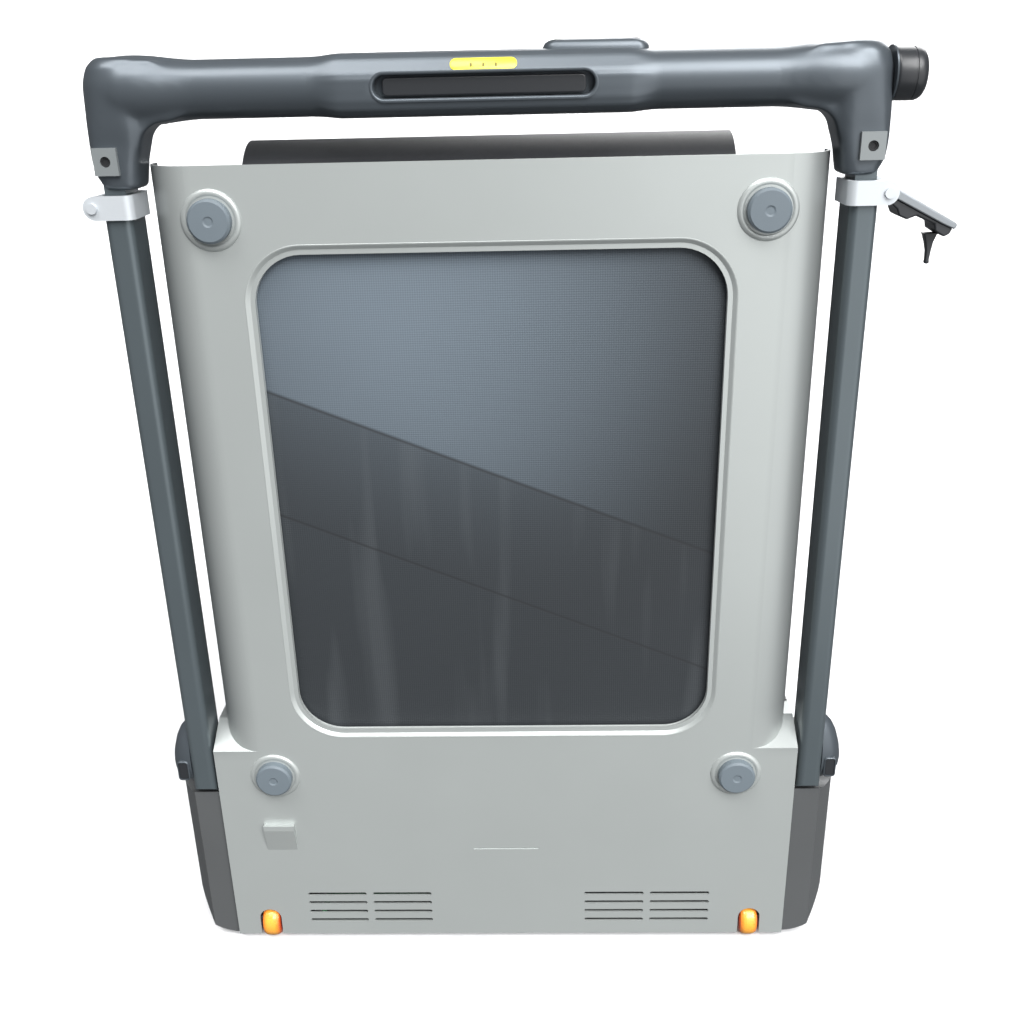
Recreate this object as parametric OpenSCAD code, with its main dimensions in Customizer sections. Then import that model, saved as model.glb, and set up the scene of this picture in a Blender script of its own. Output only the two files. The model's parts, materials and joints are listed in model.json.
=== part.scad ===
// Double-folding treadmill, stored upright on its motor end.
// X runs across the deck, Z up from the floor, the deck underside faces -Y.

/* [Deck] */
// height of the lip of the front underside cover
cover_top = 873; // [800:1:960]
// half width of the underside cover beside the belt
cover_half = 307; // [280:1:312]
// height of the fold axis
fold_z = 828; // [760:1:860]
// thickness of each deck half
deck_t = 66; // [60:1:80]

/* [Window] */
// half width of the opening in the underside cover
win_half = 217; // [150:1:225]
// lower edge of the opening
win_low = 288; // [270:1:400]
// upper edge of the opening
win_high = 794; // [600:1:815]
// corner radius of the opening
win_r = 46; // [20:1:70]

/* [Motor end] */
// half width of the light motor end cover
motor_half = 317; // [305:1:319]
// top of the ramped shoulder
ramp_z = 262; // [240:1:275]
// depth of the motor hood on the running side
hood_y = 134; // [115:1:140]

/* [Feet] */
// radius of the rubber feet
foot_r = 19.5; // [12:0.5:24]
// how far the feet stand out of the underside
foot_h = 11; // [8:0.5:16]

/* [Belt] */
// half width of the walking belt
belt_half = 222; // [180:1:226]
// thickness of the walking belt
belt_t = 1.6; // [1:0.1:3]

/* [Handle] */
// inner side of the uprights
up_in = 320; // [319.5:0.5:322]
// outer side of the uprights
up_out = 345; // [340:1:350]
// depth of the uprights
up_d = 44; // [36:1:48]
// depth of the handle pivot axis
piv_y = 26; // [22:1:30]
// height of the handle pivot axis
piv_z = 238; // [230:1:246]

/* [Handlebar] */
// height of the grip bar axis
bar_z = 935; // [930:1:950]
// radius of the grip bar
bar_r = 24.5; // [16:0.5:26]
// half length of the console
con_half = 129; // [100:1:150]

/* [Hidden] */
fy = 72;
link_d = 14;
y1 = fy - link_d / 2;
y2 = fy + link_d / 2;
roll_r = 39;
top_y = 60;
ret_y = 11;
wrap_r = (top_y - ret_y) / 2;
wrap_y = (top_y + ret_y) / 2;
drive_z = 262;
tail_z = 330;
wall = 2.6;
eps = 0.01;
wheel_r = 20;
wheel_y = 14;
wheel_x = 278;
clamp_z = 828;
clamp_h = 21;
fine = 64;
mid_x = 25.185;
mid_y = fy;
lip = 9;

// colours a node and sets the origin at the middle of the stored footprint
module tint(c) {
  color(c) translate([-mid_x, -mid_y, 0]) children();
}

module mirror_pair() {
  children();
  mirror([1, 0, 0]) children();
}

// solid running along X from a to b with a round section about (y, z)
module rod_x(a, b, y, z, r, n = 64) {
  translate([a, y, z]) rotate([0, 90, 0]) cylinder(h = b - a, r = r, $fn = n);
}

// solid running along Y from a to b with a round section about (x, z)
module rod_y(a, b, x, z, r, n = 64) {
  translate([x, a, z]) rotate([-90, 0, 0]) cylinder(h = b - a, r = r, $fn = n);
}

// box between two opposite corners
module span(a, b) {
  translate(a) cube([b[0] - a[0], b[1] - a[1], b[2] - a[2]]);
}

// flat 2D shape in X and Z pushed along Y from a to b
module push_y(a, b) {
  translate([0, b, 0]) rotate([90, 0, 0]) linear_extrude(b - a) children();
}

// 2D box between corners with rounded corners
module round_rect(x0, y0, x1, y1, r) {
  translate([x0 + r, y0]) square([x1 - x0 - 2 * r, y1 - y0]);
  translate([x0, y0 + r]) square([x1 - x0, y1 - y0 - 2 * r]);
  for (x = [x0 + r, x1 - r], y = [y0 + r, y1 - r]) translate([x, y]) circle(r = r, $fn = fine);
}

// section of an underside skin: flat face, both edges rolled back
module skin_section(inset, depth) {
  r = roll_r - inset;
  h = cover_half - inset;
  translate([-h + r, inset]) square([2 * (h - r), r + 1]);
  translate([-h, inset + r]) square([2 * h, depth - inset - r]);
  for (s = [-1, 1]) intersection() {
    translate([s * (h - r), inset + r]) circle(r = r, $fn = 96);
    translate([-h - 1, inset - 1]) square([2 * h + 2, r + 1.5]);
  }
}

// four slots side by side, twice, for cooling air
module vent_slots(x0) {
  for (row = [0:3], c = [0, 1]) {
    z = 28 + row * 12.6;
    x = x0 + c * 75;
    push_y(-1, 6) round_rect(x, z - 2.2, x + 68, z + 2.2, 2.19);
  }
}

module wheel_slot() {
  mirror_pair() {
    span([wheel_x - 12.5, -1, -1], [wheel_x + 12.5, 10, 31]);
    rod_y(-1, 10, wheel_x, 31, 12.5);
    span([wheel_x - 12.5, -1, -1], [wheel_x + 12.5, 40, 12]);
  }
}

// space above the sloped shoulder of the motor end, lowered by g
module shoulder_cut(g) {
  translate([-400, 0, ramp_z - g * 1.17]) rotate([31, 0, 0]) translate([0, -60, 0]) cube([800, 240, 160]);
  span([-400, -10, ramp_z + 21 - g], [400, 100, 400]);
}

module bottom_cover() {
  tint([0.72, 0.74, 0.73]) difference() {
    union() {
      difference() {
        translate([0, 0, 60]) linear_extrude(cover_top - 60) skin_section(0, 46);
        translate([0, 0, 50]) linear_extrude(cover_top) skin_section(wall, 60);
      }
      difference() {
        span([-motor_half, 0, 8], [motor_half, 62, 330]);
        shoulder_cut(0);
        difference() {
          span([-motor_half + wall, wall, 8 + wall], [motor_half - wall, 70, 340]);
          shoulder_cut(wall);
        }
        translate([0, 0, ramp_z - 4]) linear_extrude(200) skin_section(wall, 90);
      }
      mirror_pair() for (p = [[248, 826], [252, 230]]) rod_y(0, 3.5, p[0], p[1], 23.5);
      mirror_pair() for (p = [[248, 826], [252, 230]]) rod_y(-1.6, 3.5, p[0], p[1], 24);
    }
    push_y(-5, 9) round_rect(-win_half - lip, win_low - lip, win_half + lip, win_high + lip, win_r + lip);
    vent_slots(-231);
    vent_slots(88);
    wheel_slot();
    mirror_pair() for (p = [[248, 826], [252, 230]]) rod_y(-5, 6, p[0], p[1], 5);
    mirror_pair() rod_x(280, 330, piv_y, piv_z, 12);
    push_y(-1, 1) round_rect(-37, 129, 37, 131.4, 1.15);
  }
  tint([0.72, 0.74, 0.73]) push_y(wall - 0.2, 5.4) difference() {
    round_rect(-win_half - 14, win_low - 14, win_half + 14, win_high + 14, win_r + 14);
    round_rect(-win_half, win_low, win_half, win_high, win_r);
  }
  tint([0.72, 0.74, 0.73]) translate([-271, 0, 127]) rotate([90, 0, 90])
    linear_extrude(34) polygon([[0.5, 0], [0.5, 39], [-6, 39], [-6, 33]]);
}

// dark panel beside the motor end: bevelled front, rounded lower corner
module panel_block(g) {
  intersection() {
    translate([0, 0, 8 + g]) linear_extrude(217 - 8 - 2 * g)
      polygon([[motor_half + g, 4 + g], [346 - g * 0.4, 4 + g], [366 - g, 34 + g * 0.6],
        [366 - g, hood_y - 22 - g * 0.4], [348 - g * 0.4, hood_y - 4 - g], [motor_half + g, hood_y - 4 - g]]);
    push_y(-5, 200) union() {
      translate([motor_half, 57]) circle(r = 49 - g, $fn = 96);
      translate([motor_half - 10, 57]) square([70, 200]);
    }
  }
}

module side_panel() {
  difference() {
    panel_block(0);
    difference() {
      panel_block(3);
      rod_x(300, 400, piv_y, piv_z, 41.5);
    }
    rod_x(300, 400, piv_y, piv_z, 38.5);
  }
}

module side_panel_l() { tint([0.3, 0.31, 0.32]) mirror([1, 0, 0]) side_panel(); }
module side_panel_r() { tint([0.3, 0.31, 0.32]) side_panel(); }

module motor_hood() {
  tint([0.24, 0.25, 0.26]) difference() {
    union() {
      translate([-motor_half + 0.5, 0, 0]) rotate([90, 0, 90]) linear_extrude(2 * motor_half - 1)
        polygon([[62.05, 10], [hood_y - 10, 10], [hood_y, 26], [hood_y, 200], [84, 284], [62.05, 284]]);
    }
    translate([-motor_half + 3.5, 0, 0]) rotate([90, 0, 90]) linear_extrude(2 * motor_half - 7)
      polygon([[60, 13], [hood_y - 12, 13], [hood_y - 3, 28], [hood_y - 3, 198], [82, 281], [60, 281]]);
    span([-30, hood_y - 6, 44], [30, hood_y + 1, 76]);
  }
}

module rails() {
  tint([0.15, 0.15, 0.16]) mirror_pair() difference() {
    span([232, 20, 20], [262, 50, 820]);
    span([234, 22, 10], [260, 48, 830]);
    rod_x(200, 300, wrap_y, drive_z, 8.05);
  }
}

module cross_members() {
  tint([0.15, 0.15, 0.16]) for (z = [300, 440, 620, 788])
    difference() {
      span([-231.95, 21, z], [231.95, 39.9, z + 26]);
      span([-233, 23, z + 2], [233, 37.9, z + 24]);
    }
}

module running_board() {
  tint([0.35, 0.28, 0.2]) span([-228, 46.5, 300], [228, top_y - belt_t - 0.2, 820]);
}

module cushions() {
  tint([0.1, 0.1, 0.1]) for (z = [453, 633, 801], s = [-1, 1]) rod_y(39.95, 46.45, s * 150, z, 14);
}

// U section that carries the edge of the running surface
module foot_rail(z0, z1) {
  mirror_pair() difference() {
    span([229, 50.05, z0], [cover_half - 1, deck_t, z1]);
    span([231.5, 49, z0 - 1], [cover_half - 3.5, deck_t - 2.5, z1 + 1]);
  }
}

module foot_rails() { tint([0.2, 0.2, 0.21]) foot_rail(285, 818); }

// rubber foot with a shallow dimple, standing out along -Y
module foot(x, z, y0) {
  h = foot_h - y0;
  translate([x, -y0, z]) rotate([90, 0, 0]) rotate_extrude($fn = fine)
    polygon([[0, 0], [foot_r, 0], [foot_r, h - 2], [foot_r - 2, h - 0.2], [5, h], [3.4, h - 0.8],
      [0, h - 0.8]]);
}

module feet() {
  tint([0.5, 0.53, 0.56]) mirror_pair() {
    foot(248, 826, 1.6);
    foot(252, 230, 1.6);
  }
}

module end_feet() {
  tint([0.1, 0.1, 0.1]) mirror_pair() span([170, 96, 0], [250, 120, 9.95]);
}

module drive_motor() {
  tint([0.2, 0.2, 0.2]) {
    difference() {
      rod_x(40, 190, 66, 122, 44);
      rod_x(30, 191, 66, 122, 34);
    }
    difference() {
      rod_x(190, 194, 66, 122, 44);
      rod_x(189, 195, 66, 122, 6);
    }
    span([60, 66, 59.9], [170, 80, 82]);
    span([30, 51, 56], [231.95, 110, 60]);
    span([200, 20, 56], [231.95, 51.1, 60]);
  }
}

module motor_rotor() {
  tint([0.5, 0.5, 0.52]) {
    rod_x(60, 186, 66, 122, 33);
    rod_x(185, 215, 66, 122, 5.95);
    rod_x(198, 208, 66, 122, 42);
    rod_x(214, 222.5, 66, 122, 5.95);
    rod_x(222.5, 231.5, 66, 122, 12);
  }
}

module drive_belt() {
  tint([0.05, 0.05, 0.05]) translate([223.5, 0, 0]) rotate([90, 0, 90]) linear_extrude(7) difference() {
    hull() {
      translate([66, 122]) circle(r = 14.1, $fn = fine);
      translate([wrap_y, drive_z]) circle(r = 21.9, $fn = fine);
    }
    hull() {
      translate([66, 122]) circle(r = 12.1, $fn = fine);
      translate([wrap_y, drive_z]) circle(r = 19.9, $fn = fine);
    }
  }
}

module controller() {
  tint([0.1, 0.3, 0.15]) {
    span([-220, 40, 30], [-30, 43, 170]);
    for (k = [0:7]) span([-200 + k * 12, 43, 60], [-196 + k * 12, 70, 150]);
    span([-90, 43, 50], [-50, 60, 120]);
    for (x = [-215, -40], z = [36, 160]) rod_y(2.7, 40, x, z, 3.5);
  }
}

// inlet socket plate on the hood, with a window for the rocker
module power_inlet() {
  tint([0.06, 0.06, 0.06]) difference() {
    union() {
      span([-29.9, hood_y - 22, 44.1], [29.9, hood_y - 0.5, 75.9]);
      span([-34, hood_y, 40], [34, hood_y + 2, 80]);
      span([-29.9, hood_y - 1, 44.1], [29.9, hood_y + 1, 75.9]);
    }
    span([-24, hood_y - 16, 50], [2, hood_y + 5, 70]);
    span([8, hood_y - 16, 50], [26, hood_y + 5, 70]);
    rod_x(6, 28, hood_y - 4, 60, 2.04);
  }
}

module power_switch() {
  tint([0.7, 0.1, 0.1]) {
    translate([8.4, hood_y - 4, 60]) rotate([90, 0, 90]) linear_extrude(17.2)
      polygon([[-5, -7.6], [5, -8.2], [3.6, 0], [6.4, 8.2], [-5, 7.6]]);
    rod_x(6.5, 27.5, hood_y - 4, 60, 2);
  }
}

module wheel_axles() {
  tint([0.6, 0.6, 0.6]) mirror_pair() {
    rod_x(wheel_x - 20, wheel_x + 20, wheel_y, wheel_r, 4);
    span([wheel_x - 20, 2.65, 13], [wheel_x - 13, 19.9, 28]);
    span([wheel_x + 13, 2.65, 13], [wheel_x + 20, 19.9, 28]);
  }
}

module transport_wheel() {
  translate([wheel_x - 10.5, wheel_y, wheel_r]) rotate([0, 90, 0]) rotate_extrude($fn = 96)
    polygon([[4.05, 0], [wheel_r - 6, 0], [wheel_r - 2.2, 1.6], [wheel_r - 0.6, 4.6], [wheel_r, 8],
      [wheel_r, 13], [wheel_r - 0.6, 16.4], [wheel_r - 2.2, 19.4], [wheel_r - 6, 21], [4.05, 21]]);
}

module wheel_l() { tint([1, 0.5, 0.1]) mirror([1, 0, 0]) transport_wheel(); }
module wheel_r() { tint([1, 0.5, 0.1]) transport_wheel(); }

module roller_axle() { tint([0.6, 0.6, 0.6]) rod_x(-262, 262, wrap_y, drive_z, 8); }

module drive_roller() {
  tint([0.6, 0.6, 0.62]) difference() {
    union() {
      rod_x(-226, 222.5, wrap_y, drive_z, wrap_r - belt_t - 0.1, 96);
      rod_x(222.5, 231.5, wrap_y, drive_z, 19.8, 96);
    }
    rod_x(-230, 235, wrap_y, drive_z, 8.06);
  }
}

// half ring of belt about the X axis through (y, z), open towards +Z
module belt_half_ring(y, z, r, up) {
  difference() {
    rod_x(-belt_half, belt_half, y, z, r, 96);
    rod_x(-belt_half - 1, belt_half + 1, y, z, r - belt_t, 96);
    span([-belt_half - 1, y - r - 1, up ? z - r - 1 : z], [belt_half + 1, y + r + 1, up ? z : z + r + 1]);
  }
}

module belt_top() {
  tint([0.12, 0.12, 0.13]) {
    span([-belt_half, top_y - belt_t, drive_z], [belt_half, top_y, fold_z]);
    belt_half_ring(wrap_y, drive_z, wrap_r, false);
  }
}

module belt_return() {
  tint([0.2, 0.21, 0.23]) span([-belt_half, ret_y, drive_z], [belt_half, ret_y + belt_t, fold_z]);
}

module hinge_brackets() {
  tint([0.3, 0.3, 0.32]) mirror_pair() {
    difference() {
      union() {
        span([268, 51, 770], [273, 63, fold_z - 4]);
        rod_x(268, 273, y1, fold_z, 6.4);
        span([268, y1 - 6.4, fold_z - 8], [273, y1 + 4, fold_z]);
      }
      rod_x(267, 274, y1, fold_z, 2.99);
    }
    span([262.05, 28, 770], [268, 47, 812]);
    span([268, 28, 770], [273, 51, 812]);
    rod_x(268, 279.6, y1, fold_z, 2.99);
  }
}

module pivot_pins() {
  tint([0.5, 0.5, 0.52]) mirror_pair() {
    rod_x(262.05, 348, piv_y, piv_z, 9.95);
    rod_x(262.05, 270, piv_y, piv_z, 16);
    rod_x(305, 316, piv_y, piv_z, 11.9);
  }
}

module hinge_links() {
  tint([0.35, 0.35, 0.37]) mirror_pair() difference() {
    union() {
      rod_x(273.4, 279.4, y1, fold_z, 6.2);
      rod_x(273.4, 279.4, y2, fold_z, 6.2);
      span([273.4, y1, fold_z - 6.2], [279.4, y2, fold_z + 6.2]);
    }
    rod_x(270, 290, y1, fold_z, 3.03);
    rod_x(270, 290, y2, fold_z, 3.03);
  }
}

module belt_fold() {
  tint([0.12, 0.12, 0.13]) {
    belt_half_ring(fy, fold_z, fy - ret_y, true);
    belt_half_ring(fy, fold_z, fy - top_y + belt_t, true);
  }
}

module rear_brackets() {
  tint([0.3, 0.3, 0.32]) mirror_pair() {
    rod_x(273.5, 285, y2, fold_z, 2.99);
    rod_x(279.8, 285, y2, fold_z, 6.4);
    span([279.8, y2 - 4, fold_z - 8], [285, y2 + 6.4, fold_z]);
    span([279.8, 81, 770], [285, 93, fold_z - 4]);
    span([279.8, 93, 770], [285, 116, 812]);
    span([262.05, 97, 770], [279.8, 116, 812]);
  }
}

// lays the mirrored copy of a front half solid on the rear half
module over() { translate([0, 2 * fy, 0]) mirror([0, 1, 0]) children(); }

module rear_cover() {
  tint([0.68, 0.7, 0.69]) over() difference() {
    translate([0, 0, 318]) linear_extrude(fold_z - 42 - 318) skin_section(0, 46);
    translate([0, 0, 310]) linear_extrude(cover_top) skin_section(wall, 60);
    for (x = [-150:50:150]) push_y(-1, 1) round_rect(x - 3, 380, x + 3, 720, 2.9);
    mirror_pair() for (z = [350, 740]) rod_y(-5, 6, 248, z, 5);
  }
}

module rear_rails() {
  tint([0.15, 0.15, 0.16]) over() mirror_pair() difference() {
    span([232, 20, 318], [262, 50, 820]);
    span([234, 22, 300], [260, 48, 830]);
    rod_x(200, 300, wrap_y, tail_z, 8.05);
  }
}

module rear_cross() {
  tint([0.15, 0.15, 0.16]) over() for (z = [420, 640, 780]) difference() {
    span([-231.95, 21, z], [231.95, 46.4, z + 26]);
    span([-233, 23, z + 2], [233, 44.4, z + 24]);
  }
}

module rear_board() {
  tint([0.35, 0.28, 0.2]) over() span([-228, 46.5, 368], [228, top_y - belt_t - 0.2, 820]);
}

module rear_foot_rails() { tint([0.2, 0.2, 0.21]) over() foot_rail(330, 818); }

module rear_feet() {
  tint([0.5, 0.53, 0.56]) over() mirror_pair() for (z = [350, 740]) foot(248, z, 0);
}

module rear_belt() {
  tint([0.12, 0.12, 0.13]) over() {
    span([-belt_half, top_y - belt_t, tail_z], [belt_half, top_y, fold_z]);
    span([-belt_half, ret_y, tail_z], [belt_half, ret_y + belt_t, fold_z]);
    belt_half_ring(wrap_y, tail_z, wrap_r, false);
  }
}

// end caps that close the foot rails, the axle they carry and its two tension screws
module tail_caps() {
  tint([0.16, 0.16, 0.17]) over() {
    mirror_pair() {
      span([229, 3, 298], [cover_half - 1, deck_t, 317.95]);
      span([262.05, 14, 317], [285, 49.9, 345]);
      rod_x(224, 263, wrap_y, tail_z, 8);
    }
    rod_x(-225, 225, wrap_y, tail_z, 8);
  }
}

module tail_roller() {
  tint([0.6, 0.6, 0.62]) over() difference() {
    rod_x(-223.5, 223.5, wrap_y, tail_z, wrap_r - belt_t - 0.1, 96);
    rod_x(-230, 230, wrap_y, tail_z, 8.06);
  }
}

module upright() {
  difference() {
    union() {
      translate([0, 0, piv_z]) linear_extrude(clamp_z + clamp_h - piv_z) difference() {
        round_rect(up_in, 0, up_out, up_d, 7);
      }
      intersection() {
        translate([0, 0, piv_z - 40]) linear_extrude(42) round_rect(up_in, 0, up_out, up_d, 7);
        rod_x(up_in - 1, up_out + 1, piv_y, piv_z, 36, 96);
      }
    }
    span([up_in + 3, 5, 300], [up_out - 3, up_d - 5, 900]);
    rod_x(up_in - 1, up_out + 1, piv_y, piv_z, 10);
  }
}

module upright_l() { tint([0.35, 0.37, 0.39]) mirror([1, 0, 0]) upright(); }
module upright_r() { tint([0.35, 0.37, 0.39]) upright(); }

module pivot_cover() {
  difference() {
    push_y(6, 38) polygon([[up_out, 294], [up_out, 214], [352, 216], [366, 232], [368, 242], [364, 256],
      [353, 276]]);
    rod_x(up_out - 1, 348.5, piv_y, piv_z, 10.5);
    push_y(4, 22) round_rect(348.6, 225.6, 358.4, 246.4, 2);
  }
}

module pivot_cover_l() { tint([0.32, 0.34, 0.36]) mirror([1, 0, 0]) pivot_cover(); }
module pivot_cover_r() { tint([0.32, 0.34, 0.36]) pivot_cover(); }

module lock_button() { push_y(1.5, 15.5) round_rect(349, 226, 358, 246, 2); }
module lock_button_l() { tint([0.15, 0.15, 0.16]) mirror([1, 0, 0]) lock_button(); }
module lock_button_r() { tint([0.15, 0.15, 0.16]) lock_button(); }

// band round the top of an upright with a pair of ears on its outer side
module collar() {
  difference() {
    union() {
      translate([0, 0, clamp_z]) linear_extrude(clamp_h)
        round_rect(up_in - 4, -4, up_out + 4, up_d + 4, 8);
      for (y = [[-4, 3], [up_d - 3, up_d + 4]]) {
        span([up_out - 6, y[0], clamp_z], [up_out + 5, y[1], clamp_z + clamp_h]);
        rod_y(y[0], y[1], up_out + 5, clamp_z + clamp_h / 2, clamp_h / 2);
      }
    }
    translate([0, 0, clamp_z - 1]) linear_extrude(clamp_h + 2) round_rect(up_in, 0, up_out, up_d, 7);
    span([up_out - 1, 3, clamp_z - 1], [up_out + 14, up_d - 3, clamp_z + clamp_h + 1]);
  }
  rod_y(-6, up_d + 6, up_out + 7, clamp_z + clamp_h / 2, 3);
  rod_y(-6.5, -4, up_out + 7, clamp_z + clamp_h / 2, 4.6);
  rod_y(up_d + 4, up_d + 6.5, up_out + 7, clamp_z + clamp_h / 2, 4.6);
}

module collar_l() {
  tint([0.85, 0.86, 0.88]) mirror([1, 0, 0]) {
    collar();
    span([up_out + 0.05, 3, clamp_z + 2], [up_out + 12, up_d - 3, clamp_z + clamp_h - 2]);
  }
}

module collar_r() { tint([0.85, 0.86, 0.88]) collar(); }

// open lever: silver plate on top, dark body with its tongue below
module clamp_lever() {
  cx = up_out + 7;
  cz = clamp_z + clamp_h / 2;
  tint([0.8, 0.8, 0.8]) difference() {
    translate([cx, 0, cz]) rotate([0, 29, 0]) union() {
      rod_y(4, up_d - 4, 0, 0, 6.5);
      span([0, 4, 0], [72, up_d - 4, 7]);
      span([6, 8, -9], [30, up_d - 8, 0.1]);
      span([26, 8, -12], [70, up_d - 8, 0.1]);
      rod_y(8, up_d - 8, 60, -10, 8);
    }
    rod_y(-10, 60, cx, cz, 3.04);
  }
  tint([0.1, 0.1, 0.1]) span([cx + 44, 17, cz - 66], [cx + 50, 27, cz - 38]);
}

module inner_tubes() {
  tint([0.3, 0.31, 0.33]) mirror_pair() difference() {
    span([up_in + 3.05, 5.05, 560], [up_out - 3.05, up_d - 5.05, 900]);
    span([up_in + 5, 7, 550], [up_out - 5, up_d - 7, 899]);
  }
}

// moulded elbow: outline in X and Z with a deep inner fillet and a rounded crown
module corner() {
  difference() {
    push_y(-3, up_d + 3) difference() {
      union() {
        round_rect(250, bar_z - bar_r - 1, 350, bar_z + bar_r + 2, 20);
        translate([298, 896]) square([50, 38]);
        polygon([[317, 853], [341, 853], [348, 886], [348, 897], [298, 897]]);
        translate([256, 890]) square([43, 30]);
      }
      translate([256, 870]) circle(r = 40.5, $fn = 96);
      translate([200, 829.5]) square([56.5, 81]);
      translate([250, 829]) square([46, 41]);
    }
    span([up_in + 3.02, 5.02, 840], [up_out - 3.02, up_d - 5.02, 900.02]);
    span([322.7, -4, 866], [344.7, 0, 890]);
    rod_x(240, 300, up_d / 2, bar_z, bar_r + 0.02, 96);
    rod_x(335, 360, up_d / 2, bar_z, 8);
    span([250, 48, 800], [260, 60, 900]);
  }
}

module corner_l() { tint([0.3, 0.31, 0.33]) mirror([1, 0, 0]) corner(); }
module corner_r() { tint([0.3, 0.31, 0.33]) corner(); }

module insert_plates() {
  tint([0.55, 0.58, 0.62]) mirror_pair() difference() {
    span([323, -4.5, 866.3], [344.4, 0, 889.7]);
    rod_y(-6, -1.6, 333.7, 878, 4.6);
  }
}

module bar_tubes() {
  tint([0.25, 0.26, 0.27]) mirror_pair() difference() {
    rod_x(con_half + 0.02, 299.98, up_d / 2, bar_z, bar_r, 96);
    rod_x(con_half, 300, up_d / 2, bar_z, bar_r - 3, 96);
  }
}

module console() {
  tint([0.25, 0.26, 0.27]) difference() {
    translate([-con_half, 0, 0]) rotate([90, 0, 90]) linear_extrude(2 * con_half)
      polygon([[4, 912], [-5, 922], [-5, 940], [2, 958], [12, 962], [38, 962], [48, 952], [49, 920],
        [40, 909], [14, 908]]);
    push_y(-10, 12) round_rect(-94, 924, 94, 944, 9.9);
    rod_y(36, 60, 20, 935, 8.4);
    rod_y(36, 60, -20, 935, 8.4);
  }
}

module slot_tray() {
  tint([0.1, 0.1, 0.11]) push_y(4, 11.95) round_rect(-87, 926, 87, 942, 4);
}

module label() {
  tint([0.95, 0.9, 0.1]) translate([0, -1.5, 949]) rotate([-21.2, 0, 0])
    translate([0, -0.6, 0]) push_y(-0.8, 0.6) round_rect(-28.5, -6, 28.5, 6, 5.9);
}

module pod() {
  tint([0.5, 0.52, 0.54]) push_y(12, 36) difference() {
    round_rect(50, 950, 142, 969, 8);
    translate([40, 900]) square([110, 62.05]);
  }
}

module start_button() { tint([0.2, 0.7, 0.3]) rod_y(40, 51.5, 20, 935, 8); }
module stop_button() { tint([0.8, 0.15, 0.1]) rod_y(40, 51.5, -20, 935, 8); }

module speed_knob() {
  tint([0.12, 0.13, 0.13]) difference() {
    union() {
      rod_x(350.4, 376, up_d / 2, bar_z, 21.5, 96);
      rod_x(376, 378, up_d / 2, bar_z, 18, 96);
      rod_x(336, 351, up_d / 2, bar_z, 7.95, 96);
    }
  }
}

bottom_cover();
side_panel_l();
side_panel_r();
motor_hood();
rails();
cross_members();
running_board();
cushions();
foot_rails();
feet();
end_feet();
drive_motor();
motor_rotor();
drive_belt();
controller();
power_inlet();
power_switch();
wheel_axles();
wheel_l();
wheel_r();
roller_axle();
drive_roller();
belt_top();
belt_return();
hinge_brackets();
pivot_pins();
hinge_links();
belt_fold();
rear_brackets();
rear_cover();
rear_rails();
rear_cross();
rear_board();
rear_foot_rails();
rear_feet();
rear_belt();
tail_caps();
tail_roller();
upright_l();
upright_r();
pivot_cover_l();
pivot_cover_r();
lock_button_l();
lock_button_r();
collar_l();
collar_r();
clamp_lever();
inner_tubes();
corner_l();
corner_r();
insert_plates();
bar_tubes();
console();
slot_tray();
label();
pod();
start_button();
stop_button();
speed_knob();
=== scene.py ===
import json
import math
import bmesh
import bpy
from mathutils import Matrix, Vector


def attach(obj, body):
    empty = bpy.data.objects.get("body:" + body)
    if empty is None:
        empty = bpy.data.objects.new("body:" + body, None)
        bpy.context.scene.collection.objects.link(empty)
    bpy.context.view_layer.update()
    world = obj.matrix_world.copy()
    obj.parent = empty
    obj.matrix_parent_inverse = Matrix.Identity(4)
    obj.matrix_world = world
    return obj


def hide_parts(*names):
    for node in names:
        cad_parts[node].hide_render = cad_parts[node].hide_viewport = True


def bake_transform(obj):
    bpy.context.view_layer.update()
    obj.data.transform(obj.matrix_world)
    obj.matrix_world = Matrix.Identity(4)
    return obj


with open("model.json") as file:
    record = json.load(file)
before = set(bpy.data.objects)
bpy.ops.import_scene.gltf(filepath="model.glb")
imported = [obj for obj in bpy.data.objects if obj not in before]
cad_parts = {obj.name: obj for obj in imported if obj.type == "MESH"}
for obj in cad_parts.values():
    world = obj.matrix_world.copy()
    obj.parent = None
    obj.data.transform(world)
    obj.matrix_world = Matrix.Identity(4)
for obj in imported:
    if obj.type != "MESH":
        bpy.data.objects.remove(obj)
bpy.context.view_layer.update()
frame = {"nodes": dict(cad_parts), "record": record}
RECORD = frame["record"]
NODES = frame["nodes"]

# Design millimetres to row metres: the row's origin is the middle of the footprint.
MID_X, MID_Y = 25.185, 72.0
# The middle of the handle tubes and of the grip bar, the handle's pivot and the middle of the deck fold.
TUBE_Y, BAR_Z, PIVOT_Z = 22, 935, 240
FOLD_Y, FOLD_Z = 72, 828
KNOB_X = 350


def mm(x, y, z):
    return Vector(((x - MID_X) / 1000, (y - MID_Y) / 1000, z / 1000))


# ---------------------------------------------------------------- materials

def lin(c):
    out = []
    for v in c:
        v = v / 255
        out.append(v / 12.92 if v <= 0.04045 else ((v + 0.055) / 1.055) ** 2.4)
    return (*out, 1.0)


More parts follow.
